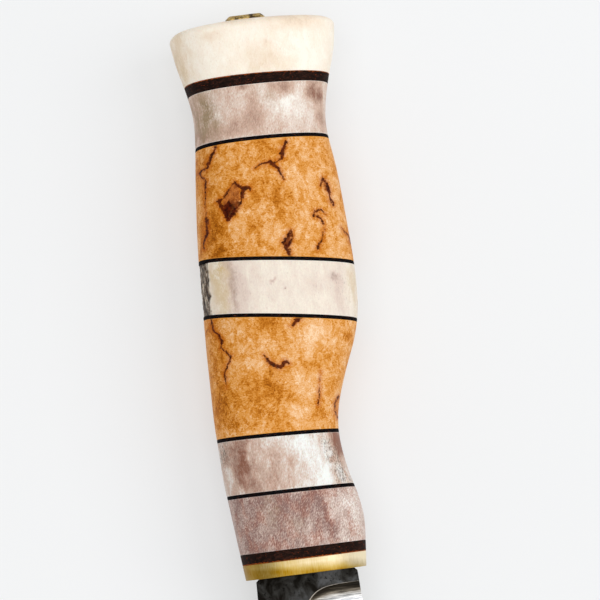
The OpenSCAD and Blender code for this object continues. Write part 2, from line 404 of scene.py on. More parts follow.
def block_grid(front, back, hole, pitch, around, recess=None):
    """Points of a block between two joint planes, front and back being (place, tilt). A
    row runs round the handle. The rows go over the wall with a small round at each rim,
    in across the back face to the hole, forward along the hole and out across the front
    face, so they close on themselves. Recess gives the depth of grooves in the wall at
    x, y and z. Gives the points and each row's distance from its nearer joint, which is
    zero on the faces."""
    (x0, t0), (x1, t1) = front, back
    length = x0 - x1
    angle = np.arange(around) / around * 2 * math.pi
    along = wall_places(length, pitch)
    near = np.minimum(along, length - along)
    rows = len(FACE_ROWS)
    off_wall = 2 * rows + 1
    place = np.concatenate([along, np.full(rows, length), [length / 2], np.full(rows, 0.0)])
    inset = np.concatenate([rim_inset(near), np.full(off_wall, RIM)])
    inward = np.concatenate([0 * along, FACE_ROWS, [1.0], FACE_ROWS[::-1]])
    share = place / length
    axis = (x0 - place)[:, None]
    tilt = (t0 + (t1 - t0) * share)[:, None]
    turn = np.broadcast_to(angle, (len(place), around))
    draw = inset[:, None]
    if recess is not None:
        _, y, z = on_joint(axis, tilt, turn, draw)
        draw = draw + recess(axis + tilt * y, y, z) * (inward[:, None] == 0)
    x, y, z = on_joint(axis, tilt, turn, draw)
    hole_y, hole_z = hole(angle)
    move = inward[:, None]
    y = y * (1 - move) + hole_y * move
    z = z * (1 - move) + hole_z * move
    x = axis + tilt * y
    distance = np.concatenate([near, np.zeros(off_wall)])[:, None] + 0 * x
    return np.stack([x, y, z], axis=-1), distance


def joint_of(index):
    """Place on the axis and slope of the joint at the front of block index."""
    _, place, tilt = STACK[index]
    return place, math.tan(math.radians(tilt))


def tang_hole(angle):
    """The hole in the bolster, which the tang fills."""
    return slot_outline(angle, 12.0, 3.4, 0.0)


def block_hole(angle):
    """The slot through the blocks behind the bolster, wider than the tang."""
    return slot_outline(angle, 13.2, 5.4, 0.0)


def pommel_hole(angle):
    """The slot through the pommel, whose middle lies towards the edge side."""
    return slot_outline(angle, 6.6, 4.4, TANG_END_Y)


def stack_block(name, pitch=0.28, around=AROUND, recess=None):
    """Builds the block of this name. Gives the piece and its points."""
    index = [entry[0] for entry in STACK].index(name)
    hole = tang_hole if index == 0 else block_hole
    front, back = joint_of(index), joint_of(index + 1)
    points, distance = block_grid(front, back, hole, pitch, around, recess)
    piece = surface(name + "_block", points, ring=True)
    paint(piece, "from_joint", distance)
    return piece, points


def pommel_block():
    """The pommel: the handle's section from the rear leather back, a quarter round at
    the rim 2.3 mm deep, then a low dome of 0.7 mm that ends in a flat for the washer.
    The last rows are the slot for the tang and the front face, as on the other blocks."""
    x0, t0 = joint_of(len(STACK) - 1)
    round_l, round_in, dome, flat = 1.8, 2.3, 0.7, 0.58
    straight = HANDLE_L - round_l - dome + x0
    angle = np.arange(AROUND) / AROUND * 2 * math.pi
    along = wall_places(straight, 0.28)[:-1]
    curve = np.linspace(0, math.pi / 2, 26)
    cap = np.linspace(0, 1, 40)[1:]
    rise = np.where(cap < flat, (1 - cap / flat) ** 2, 0) * dome
    front = FACE_ROWS[::-1]
    slot_row = HANDLE_L + x0 - 4
    place = np.concatenate([along, straight + round_l * np.sin(curve),
                            straight + round_l + dome - rise, [slot_row], 0 * front])
    inset = np.concatenate([rim_inset(along), round_in * (1 - np.cos(curve)),
                            np.full(len(cap) + 1, round_in), np.full(len(front), RIM)])
    inward = np.concatenate([0 * along, 0 * curve, cap, [1.0], front])
    tilt = t0 * np.clip(1 - place / straight, 0, 1)
    tilt[-len(front) - 1] = t0 / 2
    turn = np.broadcast_to(angle, (len(place), AROUND))
    x, y, z = on_joint((x0 - place)[:, None], tilt[:, None], turn, inset[:, None])
    hole_y, hole_z = pommel_hole(angle)
    move = inward[:, None]
    y = y * (1 - move) + hole_y * move
    z = z * (1 - move) + hole_z * move
    x = (x0 - place)[:, None] + tilt[:, None] * y
    points = np.stack([x, y, z], axis=-1)
    piece = surface("pommel_cap_block", points, ring=True)
    paint(piece, "from_joint", place[:, None] + 0 * x)
    return piece, points


# ---- blade, tang and washer ---------------------------------------------------------

BLADE_L, BLADE_H, BLADE_T = 95, 20.8, 4.0
BEVEL_H, EDGE_T = 12.2, 0.2
# radius of the blade's rounded corners, and the length over which its shoulders draw in
CORNER, SHOULDER = 0.45, 0.6
# where the bevel begins, how far that line curves along the blade at the top of the
# bevel, and the length over which the bevel comes to its depth
PLUNGE_X, PLUNGE_CURVE, PLUNGE_EASE = 2.8, 5, 1.6
# share of the blade's length, spine reach and edge reach as shares of its height
BLADE_STATIONS = np.array([
    [0, 0.5, 0.5],
    [0.1, 0.512, 0.518],
    [0.3, 0.515, 0.535],
    [0.5, 0.505, 0.53],
    [0.64, 0.485, 0.49],
    [0.76, 0.455, 0.38],
    [0.86, 0.42, 0.195],
    [0.94, 0.38, -0.035],
    [1, 0.34, -0.31]])


def blade_reach(x):
    """Y of the spine and of the edge at x, drawn in over the first 0.6 mm."""
    ease = np.maximum(0, SHOULDER - x)
    top = ease - BLADE_H * smooth_table(BLADE_STATIONS, 1, x / BLADE_L)
    low = BLADE_H * smooth_table(BLADE_STATIONS, 2, x / BLADE_L) - ease
    return top, low


def blade_piece():
    """The blade as rings from the shoulder to the tip. Its half thickness is the least
    of the flat side, the flat bevel that rises from the edge at one angle, and rounds
    along the spine and edge. The bevel starts at the curved plunge line and comes to
    its depth over 1.6 mm. Shallow noise gives the flats their forged surface."""
    plunge_end = 8
    x = np.concatenate([np.linspace(0, plunge_end, 110), np.linspace(plunge_end, BLADE_L, 300)[1:]])
    x = x[:, None]
    top, low = blade_reach(x)
    cross = np.concatenate([np.linspace(0, 0.04, 10)[:-1], np.linspace(0.04, 0.97, 80),
                            np.linspace(0.97, 1, 9)[1:]])[None, :]
    y = top + (low - top) * cross
    ahead = np.minimum(x + 1, BLADE_L)
    behind = np.maximum(np.minimum(x, BLADE_L - 1) - 1, SHOULDER)
    edge_slope = (blade_reach(ahead)[1] - blade_reach(behind)[1]) / (ahead - behind)
    lean = np.cos(np.arctan(edge_slope))
    spot = np.stack([x + 0 * y, y, 0 * y], axis=-1)
    waver = 0.35 * (layered_noise(spot * 0.11 + 7, 5) - 0.5)
    bevel = EDGE_T / 2 + (low - y + waver) * lean * (BLADE_T - EDGE_T) / 2 / BEVEL_H
    up = np.clip((low - y) / BEVEL_H, 0, 1)
    s = np.clip((x - PLUNGE_X - PLUNGE_CURVE * up**5 - 0.6 * waver) / PLUNGE_EASE, 0, 1)
    share = (s**1.6 + s**2) / 2 * (3 - 2 * s)
    full = BLADE_T / 2
    half = full - (full - np.clip(bevel, EDGE_T / 2, full)) * share
    ground = np.clip((full - half) / 0.03, 0, 1) * np.clip((y - top) / CORNER, 0, 1)
    for gap in (y - top, low - y):
        inside = np.clip(CORNER - gap, 0, CORNER)
        half = np.minimum(half, full - CORNER + np.sqrt(CORNER**2 - inside**2))
    hammer = layered_noise(spot * np.array([0.16, 0.22, 1]) + 31, 9, 3)
    pits = layered_noise(spot * 1.3 + 3, 21, 2)
    dip = (0.09 * (1 - hammer) + 0.02 * (1 - pits)) * (1 - ground)
    half = np.maximum(half - dip * np.clip(half - EDGE_T, 0, 1), EDGE_T / 2)
    upper = np.stack([x + 0 * y, y, half], axis=-1)
    lower = np.stack([x + 0 * y, y, -half], axis=-1)[:, ::-1]
    piece = surface("blade_forged", np.concatenate([upper, lower], axis=1), ring=False, sharp=60)
    # painted reflection on the bevel: dark at the plunge line, rising to bright further along
    painted_reflection = np.clip((x - PLUNGE_X - 0.8 * PLUNGE_CURVE * up**5) / 4.4, 0, 1)
    sheen = np.clip((y + 9) / 16, 0, 1)
    for name, values in (("ground", ground), ("painted_reflection", painted_reflection), ("sheen", sheen)):
        paint(piece, name, np.concatenate([values, values[:, ::-1]], axis=1))
    return piece


def tang_piece():
    """The stick tang as rings of a rounded bar. Its height tapers from 12 mm to 4.6 mm,
    its middle moves 1.7 mm towards the edge side, and its end spreads in the washer,
    where it is filed and given a bright painted sheen and painted reflection."""
    taper_l, spread_from, spread_l = 102.4, 114.8, 1.3
    place = np.array([0, 0.4, 1, 20, 40, 60, 80, taper_l, 108,
                      spread_from, 115.4, 115.9, 116.1, 116.16, 116.18])
    draw = np.zeros(len(place))
    draw[-2:] = 0.15, 0.5
    taper = np.clip(place / taper_l, 0, 1)
    height = 12 - 7.4 * taper + 0.6 * np.clip((place - spread_from) / spread_l, 0, 1)
    angle = (np.arange(96) + 0.5) / 96 * 2 * math.pi
    corner_power, half_t = 0.35, 1.68
    y = (height / 2 - draw)[:, None] * signed_power(np.cos(angle), corner_power)
    y = y + TANG_END_Y * taper[:, None]
    z = (half_t - draw)[:, None] * signed_power(np.sin(angle), corner_power)
    x = 0.5 - place[:, None] - 0.5 * taper[:, None] + 0 * y
    piece = surface("tang_bar", np.stack([x, y, z], axis=-1), ring=False, sharp=50)
    # the filed end is ground steel with painted sheen and painted reflection, which make it bright
    filed = x < -HANDLE_L - 1.5
    for name in ("ground", "painted_reflection", "sheen"):
        paint(piece, name, 0.7 * filed)
    return piece


def washer_piece():
    """The thick washer: rows go out over its foot, up its side, over the filed edge,
    in across the top and down the hole. Each row is an oblong with round corners that
    its own inset makes smaller. The last two rows are the slot the tang fills."""
    length, width, thick, cut, corner = 8.3, 6.2, 1.7, 0.74, 1.5
    angle = (np.arange(240) + 0.5) / 240 * 2 * math.pi
    rise = np.array([0, 0, 0.3, 0.6, thick - cut, 1.05, 1.3, 1.55, thick - 0.02,
                     thick, thick, thick, thick, 0.6])
    inset = np.array([1.0, 0, 0, 0, 0.01, 0.1, 0.36, 0.62, cut + 0.02, 0.82, 0.95, 1.2, 1.35, 1.5])
    rows = []
    for height, draw in zip(rise, inset):
        round_off = max(corner - draw, 0.15)
        y = np.sign(np.cos(angle)) * (length / 2 - draw - round_off) + round_off * np.cos(angle)
        z = np.sign(np.sin(angle)) * (width / 2 - draw - round_off) + round_off * np.sin(angle)
        rows.append(np.stack([-HANDLE_L - height + 0 * y, y + TANG_END_Y, z], axis=-1))
    return surface("tang_washer_filed", np.stack(rows), ring=True, sharp=25)


# ---- finishes -----------------------------------------------------------------------

def brass_finish():
    """Brass drawn over fine paper along the handle: thin lines along X, and a darker olive
    tone where painted shade and painted reflection are laid on."""
    f = Finish("brushed_brass")
    lines = f.noise(f.placed((0.25, 8, 8)), detail=4, rough=0.65)
    cloud = f.noise(f.placed((0.5, 0.3, 0.5)), detail=3)
    tone = f.math("ADD", f.math("MULTIPLY", lines, 0.4), f.math("MULTIPLY", cloud, 0.25))
    # painted shade and reflection: the painted value darkens the brass's tone
    tone = f.math("SUBTRACT", f.math("ADD", tone, 0.42), f.math("MULTIPLY", f.painted("shade"), 0.6))
    colour = f.ramp(tone, [
        (0.1, srgb(150, 112, 8)), (0.3, srgb(184, 157, 86)),
        (0.5, srgb(210, 192, 152)), (0.75, srgb(248, 234, 200))])
    f.put("Base Color", colour)
    f.put("Metallic", 1.0)
    f.put("Roughness", f.plus(0.36, lines, 0.2))
    f.bump(lines, 0.02)
    return f.material


def washer_finish():
    """Hand-filed brass with brown tarnish left in patches."""
    f = Finish("filed_brass")
    grit = f.noise(f.placed((2, 2, 2)), detail=5, rough=0.7)
    patch = f.step(f.noise(f.placed((0.5, 0.55, 0.5), move=(3, 0.9, 0)), detail=3), 0.5, 0.62)
    colour = f.ramp(grit, [
        (0.3, srgb(130, 100, 48)), (0.5, srgb(176, 146, 84)), (0.7, srgb(214, 190, 130))])
    colour = f.mix(patch, colour, srgb(74, 56, 28))
    f.put("Base Color", colour)
    f.put("Metallic", 0.85)
    f.put("Roughness", f.plus(0.36, patch, 0.25))
    f.bump(grit, 0.05)
    return f.material


def brown_leather_finish():
    """The sanded edge of thick leather: nearly black, with red-brown fibre ends that
    crowd together where it is painted as worn."""
    f = Finish("brown_leather_edge")
    fibre = f.noise(f.placed((2.2, 0.9, 0.9)), detail=6, rough=0.7, bend=0.6)
    speck = f.noise(f.placed((3.6, 1.6, 1.6), move=(4, 2, 0)), detail=4, rough=0.75)
    colour = f.ramp(fibre, [(0.3, srgb(8, 5, 4)), (0.5, srgb(28, 15, 10)), (0.66, srgb(56, 32, 24))])
    colour = f.mix(f.step(speck, 0.60, 0.70), colour, srgb(140, 56, 18))
    worn = f.step(f.vary(f.painted("worn"), speck, 1.6), 0.5, 0.9)
    colour = f.mix(worn, colour, srgb(168, 82, 22))
    f.put("Base Color", colour)
    f.put("Roughness", f.plus(0.5, fibre, 0.3))
    f.put("Specular IOR Level", 0.05)
    f.bump(fibre, 0.05)
    return f.material


def black_leather_finish():
    """Thin black dyed leather: blue-black with some brown fibre ends."""
    f = Finish("black_leather_edge")
    fibre = f.noise(f.placed((3, 1.1, 1.1)), detail=5, rough=0.7)
    speck = f.step(f.noise(f.placed((3.5, 1.3, 1.3), move=(7, 1, 0)), detail=4, rough=0.7), 0.56, 0.68)
    colour = f.ramp(fibre, [(0.4, srgb(1, 1, 2)), (0.68, srgb(18, 18, 22))])
    colour = f.mix(f.math("MULTIPLY", speck, 0.6), colour, srgb(96, 48, 24))
    f.put("Base Color", colour)
    f.put("Roughness", 0.7)
    f.put("Specular IOR Level", 0.03)
    f.bump(fibre, 0.03)
    return f.material


def antler_finish(name, tones, outer, mottle, streak, hair, edge, flush=0.0):
    """Polished antler. The painted shade picks a tone from pale to deep, and mottling,
    fine streaks along the handle and short slanting hairs break it up. Flush is how much
    the deeper tones redden in patches, and edge is how strong the painted highlight is that
    pales the joints' rims. Where they are painted, dark pits crowd together, the tan of the
    outer layer shows, red lines run and the rough outer layer is left on."""
    f = Finish(name)
    cloud = f.noise(f.placed((0.22, 0.42, 0.42)), detail=6, rough=0.62, bend=0.6)
    line = f.noise(f.placed((0.5, 2.6, 2.6), turn=2), detail=5, rough=0.65, bend=0.3)
    grit = f.noise(f.placed((2.0, 3.4, 3.4), move=(5, 3, 1)), detail=5, rough=0.75)
    slanted = f.placed((1, 1, 1), turn=26)
    dash = f.noise(f.placed((1.9, 5.4, 5.4), point=slanted), detail=3, rough=0.6)
    shade = f.vary(f.painted("shade"), cloud, mottle * 2.6)
    shade = f.vary(shade, line, streak * 2)
    shade = f.vary(shade, dash, hair * 2)
    shade = f.vary(shade, grit, 0.55)
    pale, middle, deep = tones
    colour = f.ramp(shade, [(0.0, pale), (0.45, middle), (0.95, deep)])
    rosy = f.noise(f.placed((0.24, 0.42, 0.42), move=(1, 8, 2)), detail=5, rough=0.6)
    rosy = f.math("MULTIPLY", f.step(rosy, 0.44, 0.62), f.step(shade, 0.2, 0.8))
    colour = f.mix(f.math("MULTIPLY", rosy, flush), colour, srgb(250, 210, 194), way="MULTIPLY")
    tan_share = f.math("MULTIPLY", f.painted("tan"), f.step(f.math("ADD", cloud, grit), 0.7, 1.15))
    colour = f.mix(tan_share, colour, outer)
    thread = f.vary(f.vary(f.painted("red"), line, 0.8), grit, 1.2)
    veins = f.step(thread, 0.45, 0.9)
    colour = f.mix(f.math("MULTIPLY", veins, 0.6), colour, srgb(132, 74, 60))
    crowd = f.vary(f.painted("pits"), grit, 3.2)
    dark = f.step(crowd, 0.38, 1.0)
    colour = f.mix(f.math("MULTIPLY", dark, 0.8), colour, srgb(88, 82, 74))
    # painted highlight: the rims next to the joints are paled
    joint_glint = f.step(f.plus(f.painted("from_joint"), grit, 0.2), 0.34, 0.12)
    colour = f.mix(f.math("MULTIPLY", joint_glint, edge), colour, srgb(246, 240, 234))
    rind = f.noise(f.placed((0.45, 2.1, 2.1), move=(2, 2, 2)), detail=5, rough=0.66, bend=0.5)
    rough_skin = f.ramp(rind, [
        (0.41, srgb(28, 20, 15)), (0.52, srgb(98, 80, 63)), (0.62, srgb(212, 198, 178))])
    colour = f.mix(f.painted("bark"), colour, rough_skin)
    f.put("Base Color", colour)
    f.put("Roughness", f.plus(f.plus(0.33, line, 0.2), dark, 0.3))
    f.put("Specular IOR Level", 0.16)
    f.put("Subsurface Weight", 0.04)
    f.put("Subsurface Scale", 0.0015)
    f.bump(f.math("SUBTRACT", grit, f.math("MULTIPLY", dark, 0.7)), 0.05)
    return f.material


def paint_antler(piece, points, base, shade=(), tan=(), red=(), pits=()):
    """Paints the shade, tan, red and pits of an antler finish, each from its own soft
    spots, on points pushed about by noise so that the spots come out ragged. The red
    lines keep the unpushed points."""
    push = [layered_noise(points * 0.45 + 9 * seed, seed, 4) - 0.5 for seed in (13, 14, 15)]
    red_points, points = points, points + 3.4 * np.stack(push, axis=-1)
    paint(piece, "shade", spots(points, base, shade))
    paint(piece, "tan", spots(points, 0, tan))
    paint(piece, "red", spots(red_points, 0, red))
    paint(piece, "pits", spots(points, 0, pits))


def birch_finish(name, turn):
    """Oiled curly birch: clouds and crisp-edged patches of amber, short wavy ripples,
    pale wisps and fine grain. Dark brown flecks with an amber rim and brown fills lie
    where their distances are painted. Turn moves the noise to another place."""
    f = Finish(name)
    cloud = f.noise(f.placed((0.16, 0.20, 0.20), move=(turn, 0, 0)), detail=5, rough=0.6, bend=1.4)
    curl = f.noise(f.placed((2.4, 0.8, 0.9), move=(0, turn, 0), turn=-20), detail=6, rough=0.66, bend=2.6)
    grain = f.noise(f.placed((3.4, 3.0, 3.0)), detail=4, rough=0.7)
    speck = f.noise(f.placed((1.2, 1.1, 1.1), move=(turn, 5, 2)), detail=5, rough=0.7, bend=0.6)
    tone = f.vary(0.51, cloud, 0.54)
    tone = f.vary(tone, curl, 0.8)
    tone = f.vary(tone, speck, 0.16)
    tone = f.vary(tone, grain, 0.5)
    patch = f.noise(f.placed((0.42, 0.5, 0.5), move=(turn, 2, 8), turn=30), detail=6, rough=0.6, bend=1.6)
    tone = f.vary(tone, f.step(patch, 0.47, 0.53), 0.12)
    swirl = f.noise(f.placed((0.5, 0.62, 0.6), move=(turn, 9, 0), turn=25), detail=4, rough=0.6, bend=2.4)
    wisp = f.step(f.math("ABSOLUTE", f.math("SUBTRACT", swirl, 0.5)), 0.028, 0.0)
    wisp = f.math("MULTIPLY", wisp, f.step(cloud, 0.42, 0.6))
    tone = f.plus(tone, wisp, 0.24)
    tone = f.plus(tone, f.painted("shade"), -0.25)
    colour = f.ramp(tone, [
        (0.10, srgb(114, 54, 0)), (0.29, srgb(178, 100, 10)), (0.44, srgb(212, 136, 46)),
        (0.56, srgb(227, 162, 88)), (0.70, srgb(237, 184, 130)), (0.90, srgb(248, 214, 174))])
    gap = f.vary(f.vary(f.painted("fleck"), grain, 0.7), speck, 0.7)
    halo = f.math("MULTIPLY", f.step(gap, 1.0, 0.1), 0.6)
    colour = f.mix(halo, colour, srgb(186, 92, 2))
    fill_gap = f.vary(f.vary(f.painted("fill"), grain, 0.7), speck, 0.7)
    inside = f.step(fill_gap, 0.15, -0.3)
    filled = f.ramp(f.math("ADD", speck, f.painted("fill_light")), [
        (0.38, srgb(50, 6, 0)), (0.55, srgb(110, 40, 4)), (0.80, srgb(192, 112, 48))])
    colour = f.mix(f.math("MULTIPLY", inside, 0.9), colour, filled)
    vein = f.step(gap, 0.24, -0.02)
    core = f.ramp(speck, [(0.40, srgb(40, 2, 0)), (0.64, srgb(104, 32, 0))])
    colour = f.mix(f.math("MULTIPLY", vein, 0.95), colour, core)
    # painted highlight: the rims next to the joints are a lighter amber
    joint_glint = f.step(f.plus(f.painted("from_joint"), grain, 0.25), 0.40, 0.16)
    colour = f.mix(f.math("MULTIPLY", joint_glint, 0.5), colour, srgb(232, 158, 70))
    f.put("Base Color", colour)
    f.put("Roughness", f.plus(0.3, curl, 0.3))
    f.put("Specular IOR Level", 0.05)
    f.bump(f.math("SUBTRACT", grain, f.math("MULTIPLY", vein, 1.2)), 0.05)
    return f.material


def draw_figure(piece, points, flecks, fills):
    """Paints the birch's figure: the distance to the nearest fleck and the nearest fill,
    on points pushed about by noise so that no line is straight. The far side, which is
    another part of the block, gets the same figure turned end for end. The big fill is
    lighter towards the pommel, and the fills in front of it are a little lighter."""
    x, y, z = points[..., 0], points[..., 1], points[..., 2]
    push = [layered_noise(points * 0.9 + 11 * seed, seed, 3) - 0.5 for seed in (3, 4)]
    x, y = x + 0.9 * push[0], y + 0.9 * push[1]
    middle = (x.max() + x.min()) / 2
    x = np.where(z < 0, 2 * middle - x, x)
    for name, lines in (("fleck", flecks), ("fill", fills)):
        gap = np.full(x.shape, FAR)
        for marks in lines:
            gap = np.minimum(gap, stroke_gap(x, y, marks))
        paint(piece, name, gap)
    paint(piece, "fill_light", 0.3 * np.clip((-75.6 - x) / 1.5, 0, 1) + 0.1 * (x > -73) - 0.1)


def forged_steel_finish():
    """Dark forge scale on the flats, a little lighter where sheen is painted, and ground steel
    with lines across the blade where the bevel is cut, under a painted reflection: dark next
    to the plunge line and bright as it rises. The plunge line itself is a thin glint."""
    f = Finish("forged_steel")
    ground = f.painted("ground")
    scale = f.noise(f.placed((0.26, 0.3, 0.3)), detail=5, rough=0.55, bend=0.5)
    spot = f.noise(f.placed((1.1, 1.1, 1.1), move=(5, 1, 0)), detail=5, rough=0.7)
    sheen = f.plus(scale, f.painted("sheen"), 0.22)
    dark = f.ramp(sheen, [
        (0.42, srgb(10, 9, 7)), (0.56, srgb(22, 20, 17)),
        (0.68, srgb(50, 49, 47)), (0.84, srgb(86, 87, 88))])
    dark = f.mix(f.step(spot, 0.56, 0.66), dark, srgb(8, 7, 5))
    lines = f.noise(f.placed((3.4, 0.2, 0.2)), detail=5, rough=0.7)
    bright = f.ramp(lines, [
        (0.3, srgb(132, 138, 150)), (0.44, srgb(206, 208, 212)), (0.62, srgb(252, 251, 249))])
    # painted reflection: the bevel's steel runs from dark at the plunge line to bright
    reflection_ramp = f.ramp(f.vary(f.painted("painted_reflection"), lines, 0.7), [
        (0.02, srgb(34, 29, 23)), (0.22, srgb(74, 66, 54)), (0.42, srgb(126, 117, 104)),
        (0.60, srgb(200, 198, 194)), (0.85, srgb(255, 255, 255))])
    bright = f.mix(1.0, bright, reflection_ramp, way="MULTIPLY")
    line = f.math("MULTIPLY", f.step(ground, 0.0, 0.35), f.step(ground, 0.9, 0.4))
    colour = f.mix(f.step(ground, 0.3, 0.8), dark, bright)
    colour = f.mix(f.math("MULTIPLY", line, 0.6), colour, srgb(214, 204, 190))
    f.put("Base Color", colour)
    f.put("Metallic", 1.0)
    rough = f.plus(0.4, scale, 0.25)
    shine = f.plus(0.22, lines, 0.2)
    blend = f.math("ADD", f.math("MULTIPLY", rough, f.math("SUBTRACT", 1.0, ground)),
                   f.math("MULTIPLY", shine, ground))
    f.put("Roughness", blend)
    f.bump(f.math("MULTIPLY", lines, ground), 0.02)
    f.bump(f.math("MULTIPLY", scale, f.math("SUBTRACT", 1.0, ground)), 0.08)
    return f.material


def bedding_finish():
    """Cured clear adhesive with small bubbles."""
    f = Finish("cured_adhesive")
    haze = f.noise(f.placed((0.6, 0.6, 0.6)), detail=3)
    bubble = f.step(f.cells(f.placed((1.4, 1.4, 1.4))), 0.12, 0.06)
    colour = f.ramp(haze, [(0.35, srgb(176, 150, 92)), (0.65, srgb(206, 186, 132))])
    f.put("Base Color", f.mix(bubble, colour, srgb(228, 216, 180)))
    f.put("Roughness", 0.3)
    f.bump(haze, 0.1)
    return f.material


def dress(piece, node, material):
    """Gives a piece its material, lets it ride the root body and hides the CAD node that it stands in
    for.
    """
    piece.data.materials.append(material)
    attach(piece, "root")
    if node:
        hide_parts(node)


def spots(points, base, marks):
    """Base plus soft spots: each mark (x, y, length, width, strength) adds strength
    times a bell curve in x and y."""
    x, y = points[..., 0], points[..., 1]
    total = base + 0 * x
    for middle_x, middle_y, length, width, strength in marks:
        away = ((x - middle_x) / length) ** 2 + ((y - middle_y) / width) ** 2
        total = total + strength * np.exp(-away)
    return total


# ---- pieces -------------------------------------------------------------------------
# Spots are (x, y, length, width, strength), and drawn lines are (x, y, half width).

brass = brass_finish()
brown_leather = brown_leather_finish()
black_leather = black_leather_finish()

# the bolster's painted shade and reflection: darker on its spine side and towards its front face
piece, points = stack_block("bolster", pitch=0.15)
spine_to_edge = [-12, -8, -4, 0, 4, 8, 12]
reflection_shade = np.interp(points[..., 1], spine_to_edge, [0.98, 0.71, 0.57, 0.44, 0.36, 0.22, -0.15])
reflection_shade = reflection_shade + 0.75 * (1 - np.clip(-points[..., 0] / 2.2, 0, 1))
paint(piece, "shade", np.clip(reflection_shade, -0.3, 1))
dress(piece, "bolster", brass)

# each thick leather is worn along the joint at this place and slope
for name, joint_x, slope in (("front_leather", -3.1, 0), ("rear_leather", -102.3, 0.02)):
    piece, points = stack_block(name, pitch=0.1)
    away = np.abs(points[..., 0] - joint_x - slope * points[..., 1])
    paint(piece, "worn", 0.8 * np.exp(-(away / 0.35) ** 2))
    dress(piece, name, brown_leather)
for number in range(1, 6):
    piece, _ = stack_block(f"thin_spacer_{number}")
    dress(piece, f"thin_spacer_{number}", black_leather)

# tones of the antler blocks from pale to deep, and tans of their outer layers
MAUVE = (srgb(245, 241, 235), srgb(206, 183, 171), srgb(138, 106, 98))
ROSE = (srgb(246, 241, 232), srgb(207, 177, 158), srgb(140, 98, 80))
COOL_ROSE = (srgb(241, 243, 239), srgb(206, 180, 163), srgb(140, 98, 80))
IVORY = (srgb(244, 235, 219), srgb(222, 203, 190), srgb(146, 112, 100))
OLIVE = srgb(158, 136, 106)
STRAW = srgb(212, 186, 138)
CREAM = (srgb(255, 248, 234), srgb(242, 224, 202), srgb(204, 176, 146))

piece, points = stack_block("front_antler", pitch=0.2)
paint_antler(
    piece, points, 0.66,
    shade=[(-8, -9, 4, 3, 0.16), (-8, -4.5, 3, 1.4, 0.14), (-11.5, -8.0, 2.4, 1.0, -0.16),
           (-14, -2.5, 4, 3, 0.2), (-14.6, -9, 3, 5, 0.18), (-14.5, 3, 2, 2.6, 0.14),
           (-14.2, 8.4, 2.4, 2.6, -0.14), (-11, 11.4, 7, 4.2, -0.28), (-15.8, 3.9, 3, 1, 0.3),
           (-11, 5.2, 4, 1, 0.3), (-7, 6.3, 2, 1, 0.2)],
    tan=[(-14, -6, 4, 1.5, 0.5), (-10, -0.5, 2, 2, 0.3)])
dress(piece, "front_antler", antler_finish(
    "front_antler_mauve", MAUVE, OLIVE, mottle=0.34, streak=0.1, hair=0.9, edge=0.12, flush=0.7))

piece, points = stack_block("groove_antler", pitch=0.2)
paint_antler(
    piece, points, 0.36,
    shade=[(-25.5, -9.8, 4, 1.9, 0.62), (-20, -9.8, 4, 1.9, 0.36), (-25, -12.4, 4, 1, 0.25),
           (-19.5, -5.6, 3, 2.2, 0.3), (-25, -4.6, 3, 2, 0.05), (-23, 0, 3, 1.4, 0.14),
           (-26.5, 2.6, 3, 3, -0.3), (-22.3, 5, 3, 2.8, -0.32), (-18.5, 6.6, 3, 2.6, -0.28),
           (-25.5, 9.6, 4, 1.2, 0.7)],
    pits=[(-26.5, -13.6, 4, 1.6, 0.7), (-25, -10, 3, 1.4, 0.3), (-26.4, 7.4, 2.2, 0.9, 0.5),
          (-23.6, 8.2, 2.2, 0.9, 0.5), (-20.6, 9.1, 2.2, 1.0, 0.55), (-17.8, 10, 2.2, 1.4, 0.6)])
dress(piece, "groove_antler", antler_finish(
    "groove_antler_mauve", COOL_ROSE, OLIVE, mottle=0.46, streak=0.2, hair=0.32, edge=0.2,
    flush=0.3))

piece, points = stack_block("neck_antler", pitch=0.2)
paint_antler(
    piece, points, 0.34,
    shade=[(-98.8, 7.3, 1.8, 2.5, 0.4), (-99.6, -1.3, 0.7, 1, 0.5), (-96.4, 1.2, 2, 1.6, 0.25),
           (-93.6, 1.5, 1.8, 3, 0.22), (-97.2, 14.0, 2.6, 1.2, 0.6), (-92, 14.7, 2, 1.2, 0.35),
           (-95, 8.2, 3, 3.4, -0.3), (-91.4, -10, 1.4, 3, 0.3), (-97, -4.5, 3, 2, -0.02),
           (-96.5, -10.5, 5, 1.6, 0.25), (-91.6, -2, 2, 5, 0.22)],
    tan=[(-96.8, -8.9, 3.6, 2.2, 1.1), (-93, -9.4, 3, 2.2, 0.9), (-97.3, 4, 1.4, 1.6, 0.3)],
    red=[(-98.4, -3.5, 2.4, 0.16, 0.8), (-95.6, -3.4, 1.4, 0.14, 0.6),
         (-97.2, -1.7, 1.8, 0.16, 0.6), (-97.9, 1.4, 1.3, 0.18, 0.7), (-98, 8, 1.0, 0.16, 0.6),
         (-92.7, -2.4, 0.5, 0.3, 0.8), (-90.7, 3.4, 0.5, 0.3, 0.8), (-94, 1.4, 1.8, 2.4, 0.42)],
    pits=[(-96.6, -8.7, 3, 1.3, 0.22), (-97.4, 14.2, 2, 0.8, 0.2), (-90.2, -9, 0.8, 4, 0.25)])
dress(piece, "neck_antler", antler_finish(
    "neck_antler_mauve", ROSE, OLIVE, mottle=0.26, streak=0.14, hair=0.32, edge=0.35))


def bark_share(x, y):
    """How much the rough outer layer of the antler is left on at a place: all of it on
    the spine side of an uneven border line, none past it."""
    wander = layered_noise(np.stack([x * 0.6, 0 * x, 0 * x], axis=-1), 5) - 0.5
    border = -11.9 - 0.06 * (x + 65) + wander
    return np.clip((border - y) / 0.35, 0, 1)


def bark_recess(x, y, z):
    """Depth of the grooves in the rough outer layer, longer along the handle than
    across it."""
    ridges = layered_noise(np.stack([x * 0.9, y * 2.2, z * 2.2], axis=-1) + 40, 8, 3)
    return 0.42 * bark_share(x, y) * (1 - ridges)


